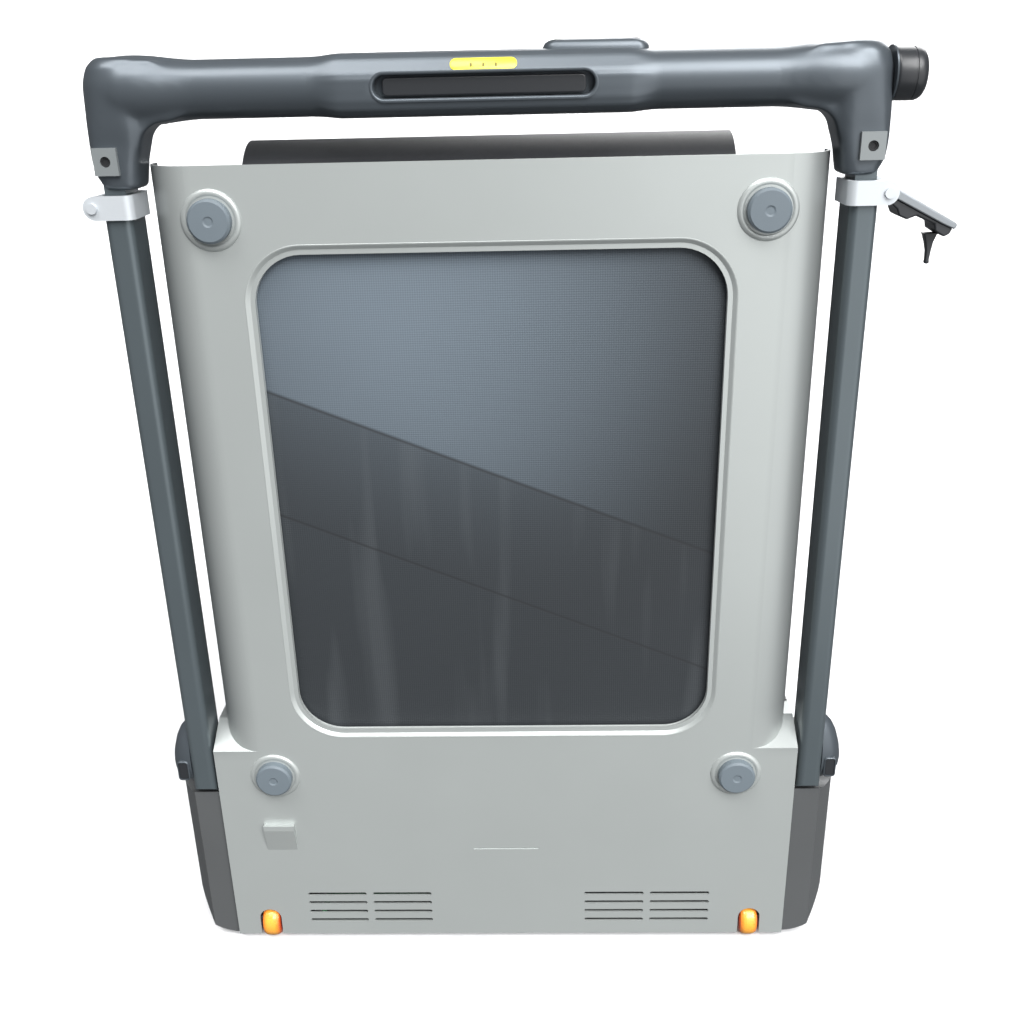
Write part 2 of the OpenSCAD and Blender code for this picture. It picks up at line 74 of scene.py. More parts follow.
class Nodes:
    """A small wrapper that builds one procedural material."""

    def __init__(self, name):
        self.m = bpy.data.materials.new(name)
        self.m.use_nodes = True
        self.t = self.m.node_tree
        self.t.nodes.clear()
        self.out = self.add("ShaderNodeOutputMaterial")
        self.bsdf = self.add("ShaderNodeBsdfPrincipled")
        self.link(self.bsdf, 0, self.out, 0)
        self.co = self.add("ShaderNodeTexCoord")

    def add(self, kind, **kw):
        n = self.t.nodes.new(kind)
        for k, v in kw.items():
            setattr(n, k, v)
        return n

    def link(self, a, i, b, j):
        self.t.links.new(a.outputs[i], b.inputs[j])

    def noise(self, scale, detail=3.0, stretch=None):
        n = self.add("ShaderNodeTexNoise")
        n.inputs["Scale"].default_value = scale
        n.inputs["Detail"].default_value = detail
        if stretch:
            mp = self.add("ShaderNodeMapping")
            mp.inputs["Scale"].default_value = stretch
            self.link(self.co, "Object", mp, "Vector")
            self.link(mp, 0, n, "Vector")
        else:
            self.link(self.co, "Object", n, "Vector")
        return n

    def math(self, op, a, b=None, c=None):
        n = self.add("ShaderNodeMath", operation=op)
        for i, v in enumerate((a, b, c)):
            if v is None:
                continue
            if isinstance(v, (int, float)):
                n.inputs[i].default_value = v
            else:
                self.t.links.new(v, n.inputs[i])
        return n.outputs[0]

    def mix(self, fac, a, b):
        n = self.add("ShaderNodeMix", data_type="RGBA")
        if isinstance(fac, (int, float)):
            n.inputs[0].default_value = fac
        else:
            self.t.links.new(fac, n.inputs[0])
        for i, v in ((6, a), (7, b)):
            if isinstance(v, tuple):
                n.inputs[i].default_value = v
            else:
                self.t.links.new(v, n.inputs[i])
        return n.outputs[2]

    def bump(self, height, strength, distance):
        b = self.add("ShaderNodeBump")
        b.inputs["Strength"].default_value = strength
        b.inputs["Distance"].default_value = distance
        self.t.links.new(height, b.inputs["Height"])
        self.link(b, 0, self.bsdf, "Normal")
        return b


def plain(name, rgb, rough, metal=0.0, var=0.06, grain=900.0, bump=0.05, depth=0.0002, coat=0.0,
          spec=0.5, blotch=9.0):
    """A finish whose colour, gloss and surface all vary a little."""
    n = Nodes(name)
    big = n.noise(blotch, 4.0)
    small = n.noise(grain, 2.0)
    a = lin(tuple(v * (1 - var) for v in rgb))
    b = lin(tuple(min(255, v * (1 + var)) for v in rgb))
    f = n.math("MULTIPLY_ADD", big.outputs["Fac"], 0.7, n.math("MULTIPLY", small.outputs["Fac"], 0.3))
    n.t.links.new(n.mix(f, a, b), n.bsdf.inputs["Base Color"])
    r = n.math("MULTIPLY_ADD", small.outputs["Fac"], 0.12, rough - 0.06)
    n.t.links.new(r, n.bsdf.inputs["Roughness"])
    n.bsdf.inputs["Metallic"].default_value = metal
    n.bsdf.inputs["Coat Weight"].default_value = coat
    n.bsdf.inputs["Coat Roughness"].default_value = 0.22
    n.bsdf.inputs["Specular IOR Level"].default_value = spec
    n.bump(small.outputs["Fac"], bump, depth)
    return n


def turned(name, rgb, rough):
    """Metal with fine turning marks round the X axis."""
    n = plain(name, rgb, rough, metal=1.0, var=0.05, bump=0.02)
    w = n.noise(40.0, 2.0, (60, 1, 1))
    n.bump(w.outputs["Fac"], 0.15, 0.0002)
    return n


def woven(name):
    """Return run of the walking belt: dotted weave, a splice band, rub marks and a painted sheen."""
    n = Nodes(name)
    sep = n.add("ShaderNodeSeparateXYZ")
    n.link(n.co, "Object", sep, 0)
    x, z = sep.outputs[0], sep.outputs[2]
    k = 2 * math.pi / 0.0031
    u = n.math("SINE", n.math("MULTIPLY", n.math("ADD", x, z), k * 0.7071))
    v = n.math("SINE", n.math("MULTIPLY", n.math("SUBTRACT", x, z), k * 0.7071))
    dots = n.math("MULTIPLY_ADD", n.math("MULTIPLY", u, v), 0.5, 0.5)
    # two straight diagonal edges of the splice, falling from left to right
    xr = n.math("ADD", x, MID_X / 1000)

    def edge(z0, slope, width):
        line = n.math("MULTIPLY_ADD", xr, slope, z0)
        d = n.math("SUBTRACT", z, line)
        return n.math("SMOOTH_MIN", 1.0, n.math("DIVIDE", n.math("ABSOLUTE", d), width), 0.2), d

    e1, d1 = edge(0.5755, -0.4060, 0.0028)
    e2, d2 = edge(0.4445, -0.4180, 0.0022)
    inside = n.math("MULTIPLY", n.math("LESS_THAN", d1, 0.0), n.math("GREATER_THAN", d2, 0.0))
    below = n.math("LESS_THAN", d1, 0.0)
    rub = n.noise(4.0, 1.5, (9, 1, 0.9))
    soft = n.math("MULTIPLY", n.math("SUBTRACT", rub.outputs["Fac"], 0.55), 5.0)
    rubs = n.math("MULTIPLY", n.math("MINIMUM", n.math("MAXIMUM", soft, 0.0), 1.0), below)
    cloud = n.noise(5.0, 3.0)
    # painted highlight: a broad sheen of light painted over the upper middle of the belt in the colour top, cut to
    # painted shade just below the first splice edge
    top, low = lin((114, 127, 138)), lin((36, 41, 45))
    dx = n.math("DIVIDE", n.math("ADD", xr, 0.09), 0.38)
    dz = n.math("DIVIDE", n.math("SUBTRACT", z, 0.79), 0.46)
    sheen = n.math("SUBTRACT", 1.0, n.math("ADD", n.math("MULTIPLY", dx, dx), n.math("MULTIPLY", dz, dz)))
    sheen = n.math("POWER", n.math("MAXIMUM", sheen, 0.0), 2.0)
    fade = n.math("MULTIPLY_ADD", n.math("MINIMUM", n.math("DIVIDE", d1, -0.13), 1.0), -0.38, 0.50)
    fade = n.math("MULTIPLY_ADD", n.math("SUBTRACT", fade, 1.0), below, 1.0)
    sheen = n.math("MULTIPLY", sheen, fade)
    body = n.mix(sheen, low, top)
    body = n.mix(n.math("MULTIPLY", cloud.outputs["Fac"], 0.2), body, lin((52, 57, 61)))
    body = n.mix(n.math("MULTIPLY", inside, 0.25), body, lin((40, 44, 48)))
    body = n.mix(n.math("MULTIPLY", rubs, 0.07), body, lin((150, 156, 160)))
    body = n.mix(n.math("MULTIPLY", dots, 0.34), body, lin((30, 32, 36)))
    dark = n.math("SUBTRACT", 1.0, n.math("MULTIPLY", e1, e2))
    body = n.mix(n.math("MULTIPLY", dark, 0.75), body, lin((30, 32, 35)))
    n.t.links.new(body, n.bsdf.inputs["Base Color"])
    n.bsdf.inputs["Roughness"].default_value = 0.62
    n.bsdf.inputs["Sheen Weight"].default_value = 0.15
    h = n.math("MULTIPLY", n.math("SUBTRACT", 1.0, dots), n.math("MULTIPLY", e1, e2))
    n.bump(h, 0.35, 0.0005)
    return n


def embossed(name):
    """Belt face with a fine diamond emboss."""
    n = Nodes(name)
    sep = n.add("ShaderNodeSeparateXYZ")
    n.link(n.co, "Object", sep, 0)
    s = n.math("ADD", sep.outputs[1], sep.outputs[2])
    k = 2 * math.pi / 0.0046
    u = n.math("SINE", n.math("MULTIPLY", n.math("ADD", sep.outputs[0], s), k))
    v = n.math("SINE", n.math("MULTIPLY", n.math("SUBTRACT", sep.outputs[0], s), k))
    d = n.math("ABSOLUTE", n.math("MULTIPLY", u, v))
    small = n.noise(300.0, 2.0)
    f = n.math("MULTIPLY_ADD", d, 0.55, n.math("MULTIPLY", small.outputs["Fac"], 0.35))
    n.t.links.new(n.mix(f, lin((24, 25, 27)), lin((58, 60, 64))), n.bsdf.inputs["Base Color"])
    n.t.links.new(n.math("MULTIPLY_ADD", d, 0.15, 0.45), n.bsdf.inputs["Roughness"])
    n.bump(d, 0.3, 0.0004)
    return n


def lens(name):
    """Orange roller moulding with a painted highlight: pale in the middle of its width, with painted shade deeper and
    redder at its edges.
    """
    n = plain(name, (252, 150, 40), 0.28, var=0.04, coat=0.4)
    sep = n.add("ShaderNodeSeparateXYZ")
    n.link(n.co, "Object", sep, 0)
    ax = n.math("ABSOLUTE", n.math("ADD", sep.outputs[0], MID_X / 1000))
    t = n.math("DIVIDE", n.math("ABSOLUTE", n.math("SUBTRACT", ax, 0.278)), 0.0105)
    t = n.math("POWER", n.math("MINIMUM", t, 1.0), 3.0)
    c = n.mix(t, lin((255, 176, 66)), lin((214, 62, 20)))
    n.t.links.new(c, n.bsdf.inputs["Base Color"])
    n.bsdf.inputs["Subsurface Weight"].default_value = 0.25
    n.bsdf.inputs["Subsurface Radius"].default_value = (0.01, 0.004, 0.001)
    return n


def board_wood(name):
    n = plain(name, (92, 76, 58), 0.6, var=0.1)
    g = n.noise(30.0, 4.0, (1, 8, 14))
    n.t.links.new(n.mix(g.outputs["Fac"], lin((70, 56, 42)), lin((112, 92, 70))), n.bsdf.inputs["Base Color"])
    return n


MATS = {
    "shell_silver": plain("shell_silver", (184, 189, 187), 0.4, metal=0.45, var=0.025, grain=1400, bump=0.12,
                          coat=0.1),
    "dark_plastic": plain("dark_plastic", (92, 94, 95), 0.42, metal=0.2, var=0.07, grain=1200, bump=0.15),
    "graphite_paint": plain("graphite_paint", (92, 101, 105), 0.33, metal=0.4, var=0.05, grain=1100, bump=0.08,
                            coat=0.15),
    "black_steel": plain("black_steel", (40, 41, 43), 0.5, metal=0.2, var=0.08, grain=800, bump=0.2),
    "deck_board": board_wood("deck_board"),
    "rubber_grey": plain("rubber_grey", (106, 116, 123), 0.55, var=0.05, grain=700, bump=0.12),
    "rubber_black": plain("rubber_black", (30, 31, 33), 0.7, var=0.1, grain=700, bump=0.25),
    "belt_weave": woven("belt_weave"),
    "belt_pvc": embossed("belt_pvc"),
    "wheel_orange": lens("wheel_orange"),
    "clamp_alloy": plain("clamp_alloy", (208, 213, 217), 0.38, metal=0.3, var=0.03, grain=900, bump=0.06),
    "steel": turned("steel", (150, 152, 156), 0.32),
    "grip_grey": plain("grip_grey", (88, 95, 101), 0.38, metal=0.5, var=0.05, grain=1500, bump=0.1, coat=0.2),
    "console_black": plain("console_black", (42, 44, 47), 0.36, var=0.06, grain=1300, bump=0.1, coat=0.1),
    "label_yellow": plain("label_yellow", (250, 238, 60), 0.35, var=0.03, grain=600, bump=0.03, coat=0.3),
    "board_green": plain("board_green", (30, 84, 50), 0.45, var=0.12, grain=200, bump=0.1),
    "button_green": plain("button_green", (50, 165, 90), 0.35, var=0.04, coat=0.2),
    "button_red": plain("button_red", (196, 46, 36), 0.35, var=0.04, coat=0.2),
}
MATERIAL = {k: v.m for k, v in MATS.items()}
insert_grey = plain("insert_grey", (134, 139, 140), 0.42, metal=0.2, var=0.04).m
tick_ink = plain("tick_ink", (120, 112, 20), 0.5, var=0.1).m
screw_dark = plain("screw_dark", (58, 60, 64), 0.35, metal=0.8, var=0.06).m

# painted shade: the rolled sides of the shell are coloured darker than its face, standing in for the shade they fall
# in
shell = MATS["shell_silver"]
sep = shell.add("ShaderNodeSeparateXYZ")
shell.link(shell.co, "Object", sep, 0)
away = shell.math("ABSOLUTE", shell.math("ADD", sep.outputs[0], MID_X / 1000))
side_shade = shell.math("DIVIDE", shell.math("SUBTRACT", away, 0.262), 0.045)
side_shade = shell.math("MINIMUM", shell.math("MAXIMUM", side_shade, 0.0), 1.0)
high = shell.math("DIVIDE", shell.math("SUBTRACT", sep.outputs[2], 0.25), 0.06)
side_shade = shell.math("MULTIPLY", side_shade, shell.math("MINIMUM", shell.math("MAXIMUM", high, 0.0), 1.0))
face = shell.bsdf.inputs["Base Color"].links[0].from_socket
shade = shell.mix(shell.math("MULTIPLY", side_shade, 0.62), face, lin((96, 98, 101)))
shell.t.links.new(shade, shell.bsdf.inputs["Base Color"])

SLOT_OF = {s["node"]: s["material_slot"] for s in RECORD["subparts"]}
for node_name, obj in NODES.items():
    obj.data.materials.clear()
    obj.data.materials.append(MATERIAL[SLOT_OF[node_name]])
NODES["insert_plates"].data.materials[0] = insert_grey


# ---------------------------------------------------------------- mesh tools

def make(name, verts, faces, material, body, sharp=35, replace=()):
    """A piece from design millimetres, smooth except across edges over `sharp` degrees."""
    me = bpy.data.meshes.new(name)
    me.from_pydata([mm(*v) for v in verts], [], faces)
    bm = bmesh.new()
    bm.from_mesh(me)
    bmesh.ops.remove_doubles(bm, verts=bm.verts, dist=1e-7)
    bmesh.ops.recalc_face_normals(bm, faces=bm.faces)
    bm.to_mesh(me)
    bm.free()
    for p in me.polygons:
        p.use_smooth = True
    if sharp is not None:
        me.set_sharp_from_angle(angle=math.radians(sharp))
    ob = bpy.data.objects.new(name, me)
    bpy.context.scene.collection.objects.link(ob)
    me.materials.append(material)
    if body:
        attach(ob, body)
    if replace:
        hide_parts(*replace)
    return ob


class Geo:
    """Collects vertices and faces in design millimetres."""

    def __init__(self):
        self.v, self.f = [], []

    def add(self, verts, faces):
        o = len(self.v)
        self.v += [tuple(v) for v in verts]
        self.f += [[o + i for i in f] for f in faces]
        return self

    def lathe(self, profile, at, axis, n=64):
        """Turns (radius, along) pairs round an axis through `at`."""
        v, f = [], []
        ax = Vector(axis).normalized()
        u = ax.orthogonal().normalized()
        w = ax.cross(u)
        for r, h in profile:
            for k in range(n):
                a = 2 * math.pi * k / n
                v.append(Vector(at) + ax * h + (u * math.cos(a) + w * math.sin(a)) * r)
        m = len(profile)
        for i in range(m - 1):
            for k in range(n):
                q = (k + 1) % n
                f.append((i * n + k, i * n + q, (i + 1) * n + q, (i + 1) * n + k))
        f.append(tuple(range(n - 1, -1, -1)))
        f.append(tuple((m - 1) * n + k for k in range(n)))
        return self.add(v, f)

    def loft(self, rings, closed_ends=True):
        n = len(rings[0])
        v = [p for r in rings for p in r]
        f = []
        for i in range(len(rings) - 1):
            for k in range(n):
                q = (k + 1) % n
                f.append((i * n + k, i * n + q, (i + 1) * n + q, (i + 1) * n + k))
        if closed_ends:
            f.append(tuple(range(n - 1, -1, -1)))
            f.append(tuple((len(rings) - 1) * n + k for k in range(n)))
        return self.add(v, f)

    def prism_y(self, outline, y0, y1):
        """An (x, z) outline pushed along Y."""
        return self.loft([[(x, y0, z) for x, z in outline], [(x, y1, z) for x, z in outline]])

    def mirrored(self):
        g = Geo()
        g.v = [(-x, y, z) for x, y, z in self.v]
        g.f = [list(reversed(f)) for f in self.f]
        return g


def rounded(x0, z0, x1, z1, r, n=10):
    """Points round a rectangle with rounded corners."""
    out = []
    for cx, cz, a0 in ((x1 - r, z1 - r, 0), (x0 + r, z1 - r, 90), (x0 + r, z0 + r, 180), (x1 - r, z0 + r, 270)):
        for k in range(n + 1):
            a = math.radians(a0 + 90 * k / n)
            out.append((cx + r * math.cos(a), cz + r * math.sin(a)))
    return out


def bevel(ob, width, segments=3, angle=35):
    b = ob.modifiers.new("bevel", "BEVEL")
    b.width = width
    b.segments = segments
    b.limit_method = "ANGLE"
    b.angle_limit = math.radians(angle)
    b.harden_normals = False

def melt(ob, voxel, smooth):
    """Fuses overlapping solids into one skin and rounds the joins."""
    r = ob.modifiers.new("fuse", "REMESH")
    r.mode = "VOXEL"
    r.voxel_size = voxel
    r.use_smooth_shade = True
    s = ob.modifiers.new("ease", "SMOOTH")
    s.factor = 0.5
    s.iterations = smooth


# ---------------------------------------------------------------- underside

WIN = dict(x=217, z0=288, z1=794, r=46)


def ring_at(grow, y, n=16):
    w = WIN
    return [(x, y, z) for x, z in rounded(-w["x"] - grow, w["z0"] - grow, w["x"] + grow, w["z1"] + grow,
                                         w["r"] + grow, n)]


g = Geo().loft([ring_at(9.6, 0.3), ring_at(9.0, -0.35), ring_at(8.2, -0.3), ring_at(7.4, 0.2), ring_at(1.4, 4.7),
                ring_at(0.4, 5.4), ring_at(-0.2, 6.2), ring_at(-0.2, 7.4)], closed_ends=False)
make("window_lip", g.v, g.f, MATERIAL["shell_silver"], "base", sharp=50)

# raised rings round the four front feet
g = Geo()
for sx in (-1, 1):
    for x, z in ((248, 826), (252, 230)):
        g.lathe([(27.5, -0.02), (27.2, 0.7), (25.6, 1.9), (23.6, 2.3), (21.6, 1.6), (20.6, 0.2), (20.2, -0.1)],
                (sx * x, 0, z), (0, -1, 0), 72)
make("foot_rings", g.v, g.f, MATERIAL["shell_silver"], "base", sharp=60)

# ---------------------------------------------------------------- handle corners


def corner_shape():
    g = Geo()
    g.lathe([(22, 0), (24.4, 6), (25.0, 22), (26.4, 36), (28.2, 50), (29.4, 64), (29.4, 80), (27.0, 92)],
            (236, TUBE_Y, BAR_Z), (1, 0, 0), 48)
    # vertical leg with rounded sections
    rings = []
    for z, x0, x1, y0, y1, r in ((853, 310.5, 342, 0, 44, 12), (860, 310.2, 345.5, 0, 45.4, 12),
                                 (866, 309.8, 348.4, -0.4, 46.4, 10), (877, 308, 350, -0.6, 46.8, 10),
                                 (890, 303.5, 350.6, -1.0, 46.8, 12), (905, 299, 350.8, -3.0, 46.8, 16),
                                 (925, 297, 350.8, -4.4, 46.8, 21), (942, 297, 350.4, -4.8, 47, 23),
                                 (955, 299, 346.5, -2, 45, 22), (963, 305, 338, 5, 39, 15)):
        rings.append([(x, y, z) for x, y in rounded(x0, y0, x1, y1, r, 8)])
    g.loft(rings)
    # web that fills the inside of the bend
    pts = [(315, 962), (286, 961), (262, 950), (262, 914), (276, 909.5)]
    for k in range(13):
        a = math.radians(90 - 84 * k / 12)
        pts.append((282 + 22 * math.cos(a), 887 + 22 * math.sin(a)))
    pts += [(316, 884)]
    g.prism_y(pts, 3, 41)
    return g


right_corner = corner_shape()
for name, geo, cad in (("grip_corner_right", right_corner, "corner_r"),
                       ("grip_corner_left", right_corner.mirrored(), "corner_l")):
    ob = make(name, geo.v, geo.f, MATERIAL["grip_grey"], "handlebar", replace=(cad,))
    melt(ob, 0.0016, 42)

# ---------------------------------------------------------------- console loft


def console_ring(x):
    """Round like the bar at its ends, faceted with a flat top and a tilted face between them."""
    t = max(0.0, min(1.0, (150 - abs(x)) / 26))
    t = t * t * (3 - 2 * t)
    face = [(4, 911), (-2.5, 916), (-4.8, 923), (-5, 932), (-4.8, 940), (-3.4, 944.6), (4.6, 956.5), (9.5, 960.4),
            (15, 961.6), (27, 961.8), (37, 961), (44.6, 955.6), (47.8, 947), (48.6, 935), (47.6, 923), (43, 913.6),
            (36, 909.4), (25, 908.6), (13, 908.8)]
    pts = []
    n = len(face)
    for i in range(n):
        y0, z0 = face[i]
        y1, z1 = face[(i + 1) % n]
        for k in range(4):
            pts.append((y0 + (y1 - y0) * k / 4, z0 + (z1 - z0) * k / 4))
    out = []
    for y, z in pts:
        a = math.atan2(z - BAR_Z, y - TUBE_Y)
        cy, cz = TUBE_Y + 24.6 * math.cos(a), BAR_Z + 24.6 * math.sin(a)
        out.append((x, cy + (y - cy) * t, cz + (z - cz) * t))
    return out


xs = list(range(-151, -123, 3)) + list(range(-118, 119, 8)) + list(range(124, 152, 3))
g = Geo().loft([console_ring(x) for x in xs])
console = make("console_shell", g.v, g.f, MATERIAL["grip_grey"], "handlebar", sharp=55,
               replace=("console",))
cut = Geo().prism_y(rounded(-95, 923.5, 95, 944.5, 10.4, 12), -12, 9)
for s in (-20, 20):
    cut.lathe([(8.4, 0), (8.4, 20)], (s, 36, BAR_Z), (0, 1, 0), 48)
cutter = make("cutter", cut.v, cut.f, MATERIAL["console_black"], None)
bo = console.modifiers.new("slot", "BOOLEAN")
bo.operation = "DIFFERENCE"
bo.solver = "EXACT"
bo.object = cutter
deps = bpy.context.evaluated_depsgraph_get()
cut_mesh = bpy.data.meshes.new_from_object(console.evaluated_get(deps))
console.modifiers.clear()
console.data = cut_mesh
bpy.data.objects.remove(cutter)
bevel(console, 0.0012, 3, 50)

# slot frame and inner bar
g = Geo().loft([[(x, -5.6, z) for x, z in rounded(-97.5, 921.5, 97.5, 946.5, 12.4, 12)],
                [(x, -6.2, z) for x, z in rounded(-96, 923, 96, 945, 11, 12)],
                [(x, -5.2, z) for x, z in rounded(-94.6, 924.4, 94.6, 943.6, 9.6, 12)],
                [(x, 8.4, z) for x, z in rounded(-94, 925, 94, 943, 9, 12)]], closed_ends=False)
make("slot_frame", g.v, g.f, MATERIAL["grip_grey"], "handlebar", sharp=60)
g = Geo().prism_y(rounded(-87, 926.5, 87, 941.5, 4, 8), -1.5, 9.5)
tray = make("slot_bar", g.v, g.f, MATERIAL["console_black"], "handlebar", replace=("slot_tray",))
bevel(tray, 0.0012)

# yellow tab with three ticks on the sloping top face
tilt = math.atan2(12, 8)


def on_face(x, s, lift):
    """A point on the sloping face: s along the slope from its middle, lift out of it."""
    y, z = 0.6, 950.6
    dy, dz = math.cos(tilt), math.sin(tilt)
    return (x, y + dy * s - dz * lift, z + dz * s + dy * lift)


out = rounded(-28.5, -5.6, 28.5, 5.6, 5.2, 10)
inn = rounded(-27.6, -4.8, 27.6, 4.8, 4.6, 10)
g = Geo().loft([[on_face(x, s, -0.6) for x, s in out], [on_face(x, s, 0.5) for x, s in out],
                [on_face(x, s, 0.9) for x, s in inn]])
make("label_tab", g.v, g.f, MATERIAL["label_yellow"], "handlebar", replace=("label",))
g = Geo()
for x in (-10.6, 0, 10.6):
    o = rounded(x - 1.0, -3.2, x + 1.0, 0.6, 0.9, 4)
    g.loft([[on_face(a, s, 0.8) for a, s in o], [on_face(a, s, 1.05) for a, s in o]])
make("label_ticks", g.v, g.f, tick_ink, "handlebar")

# control pod on the top edge
g = Geo()
rings = []
for z, grow in ((952, 0), (962, -0.4), (965.5, -2.2), (967.6, -5.5), (968.6, -11)):
    rings.append([(x, y, z) for x, y in rounded(50 - grow, 13 - grow * 0.6, 142 + grow, 35 + grow * 0.6, 9, 8)])
g.loft(rings)
make("pod_shell", g.v, g.f, MATERIAL["grip_grey"], "handlebar", sharp=60, replace=("pod",))

# ---------------------------------------------------------------- knob

prof = [(7.9, -14.5), (7.9, 0.4), (20.6, 0.4), (21.4, 1.2), (21.9, 3), (22.0, 15.6), (21.5, 16.0), (21.5, 16.8),
        (22.0, 17.2), (21.9, 20.5), (21.0, 23.2), (19.4, 25.4), (17.2, 26.8), (15.8, 26.9), (15.2, 26.2), (0.6, 25.9)]
g = Geo().lathe(prof, (KNOB_X, TUBE_Y, BAR_Z), (1, 0, 0), 96)
make("knob_body", g.v, g.f, MATERIAL["console_black"], "knob", sharp=40, replace=("speed_knob",))
g = Geo().lathe([(23.5, -1.2), (23.9, 0.0), (23.5, 0.25), (20, 0.25)], (KNOB_X, TUBE_Y, BAR_Z), (1, 0, 0), 96)
make("knob_collar", g.v, g.f, MATERIAL["grip_grey"], "handlebar", sharp=50)

# ---------------------------------------------------------------- pivot covers and locks


def pivot_shape():
    g = Geo()
    # dome over the pivot and a tail that fades up the upright
    rings = []
    for x, s in ((344.6, 1.0), (350, 0.97), (356, 0.88), (361, 0.74), (365, 0.52), (367.2, 0.25)):
        pts = []
        for k in range(40):
            a = 2 * math.pi * k / 40
            up = math.sin(a)
            rz = 52 * s ** 1.5 if up > 0 else 27 * s
            pts.append((x, TUBE_Y + 20 * s * math.cos(a), PIVOT_Z + rz * up))
        rings.append(pts)
    g.loft(rings)
    return g


right_cover = pivot_shape()
for name, geo, cad in (("pivot_dome_right", right_cover, "pivot_cover_r"),
                       ("pivot_dome_left", right_cover.mirrored(), "pivot_cover_l")):
    make(name, geo.v, geo.f, MATERIAL["grip_grey"], "handle", replace=(cad,), sharp=70)

for side, sx in (("left", -1), ("right", 1)):
    g = Geo().loft([[(sx * x, y, z) for x, z in rounded(348.6 - gr, 225.4 - gr, 358.4 + gr, 246.6 + gr, 2.2 + gr, 6)]
                    for gr, y in ((1.6, 5.0), (1.6, 1.6), (1.2, 1.0), (0.2, 0.8), (0.0, 1.4), (0.0, 6.0))],
                   closed_ends=False)
    make("lock_frame_" + side, g.v, g.f, MATERIAL["grip_grey"], "handle", sharp=60)
for n in ("lock_button_l", "lock_button_r"):
    bevel(NODES[n], 0.0009)

# ---------------------------------------------------------------- clamp lever

CX, CZ, TURN = 352.0, 838.5, math.radians(29)


def lever_pt(u, y, w):
    """u along the lever, w above its middle line."""
    return (CX + u * math.cos(TURN) + w * math.sin(TURN), y, CZ - u * math.sin(TURN) + w * math.cos(TURN))


def lever_prism(g, outline, y0, y1):
    return g.loft([[lever_pt(u, y0, w) for u, w in outline], [lever_pt(u, y1, w) for u, w in outline]])


arc = [(6.2 * math.cos(math.radians(a)), 6.2 * math.sin(math.radians(a))) for a in range(250, 110, -14)]
g = Geo()
lever_prism(g, arc + [(-1, 6.6), (8, 7), (70, 6.6), (72, 5), (71.5, 1.2), (60, 0.2), (12, -1.0), (6, -4)], 4.6, 39.4)
lever_alloy = plain("lever_alloy", (150, 155, 159), 0.34, metal=0.6, var=0.03, grain=900, bump=0.06).m
plate = make("lever_plate", g.v, g.f, lever_alloy, "lever", replace=("clamp_lever",), sharp=40)
bevel(plate, 0.0012, 3)
g = Geo()
lever_prism(g, [(7, -1.2), (14, -0.8), (60, 0.6), (70.5, 1.6), (71, -4), (68, -8.5), (58, -8), (54, -3.2),
                (36, -4.6), (30, -11.5), (22, -12), (17, -8), (8, -6.4)], 7, 37)
body = make("lever_body", g.v, g.f, MATERIAL["console_black"], "lever", sharp=40)
bevel(body, 0.0014, 3)
g = Geo()
ton = []
for z, x0, x1, w in ((800, 393, 405, 11), (792, 395.5, 402.5, 8), (784, 397.2, 401.6, 6), (776, 397.4, 401, 5),
                     (773.5, 397, 401.4, 5), (772.5, 398, 400.4, 4)):
    ton.append([(x, y, z) for x, y in rounded(x0, TUBE_Y - w / 2, x1, TUBE_Y + w / 2, 1.1, 4)])
g.loft(ton)
make("lever_tongue", g.v, g.f, MATERIAL["console_black"], "lever", sharp=60)
for n in ("collar_l", "collar_r"):
    bevel(NODES[n], 0.0009, 3)

# ---------------------------------------------------------------- belt over the fold

HALF = 222.0


def arc_strip(name, r_out, r_in, a0):
    """A quarter of a belt loop round the fold, from angle a0 to the top, between a deck half and the link."""
    rings = []
    n, m = 36, 24
    for k in range(n + 1):
        a = math.radians(a0 + (90 - a0) * k / n)
        c, s = math.cos(a), math.sin(a)
        row = []
        for r in (r_out, r_in):
            xs = [-HALF + 2 * HALF * i / m for i in range(m + 1)]
            if r == r_in:
                xs.reverse()
            for x in xs:
                row.append((x, FOLD_Y - r * c, FOLD_Z + r * s))
        rings.append(row)
    g = Geo().loft(rings)
    ob = make(name, g.v, g.f, MATERIAL["belt_pvc"], None, sharp=50)
    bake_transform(ob)
    return ob


BELT = 1.6
for part, radius in (("fold", 61.0), ("inner", 13.6)):
    for half, first, deck_body, side in (("front", 0, "base", -1), ("rear", 180, "rear_deck", 1)):
        strip = arc_strip("belt_%s_%s" % (part, half), radius, radius - BELT, first)
        if (part, half) == ("fold", "front"):
            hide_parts("belt_fold")

# ---------------------------------------------------------------- edges of CAD nodes

for n, w in (("side_panel_l", 0.0045), ("side_panel_r", 0.0045), ("motor_hood", 0.004), ("foot_rails", 0.002),
             ("rear_foot_rails", 0.002), ("tail_caps", 0.002), ("end_feet", 0.002), ("feet", 0.0008),
             ("rear_feet", 0.0008),
             ("insert_plates", 0.0008), ("power_inlet", 0.0008), ("power_switch", 0.0008), ("start_button", 0.0008),
             ("stop_button", 0.0008), ("running_board", 0.0012), ("rear_board", 0.0012), ("upright_l", 0.0006),
             ("upright_r", 0.0006), ("hinge_brackets", 0.0006), ("rear_brackets", 0.0006)):
    bevel(NODES[n], w)

# ---------------------------------------------------------------- screws and small parts


def screw(g, at, axis, r=4.0, h=1.6):
    g.lathe([(r * 0.5, -6), (r * 0.5, -0.2), (r, -0.1), (r, h * 0.4), (r * 0.86, h * 0.85), (r * 0.62, h),
             (r * 0.44, h), (r * 0.40, h * 0.35), (0.05, h * 0.3)], at, axis, 28)


g = Geo()
for sx in (-1, 1):
    g.lathe([(4.55, 0), (4.55, 2.2), (3.0, 2.2), (2.7, 1.2), (0.1, 1.2)], (sx * 333.7, -0.8, 878), (0, -1, 0), 32)
make("plate_screws", g.v, g.f, MATERIAL["rubber_black"], "handlebar", sharp=40)

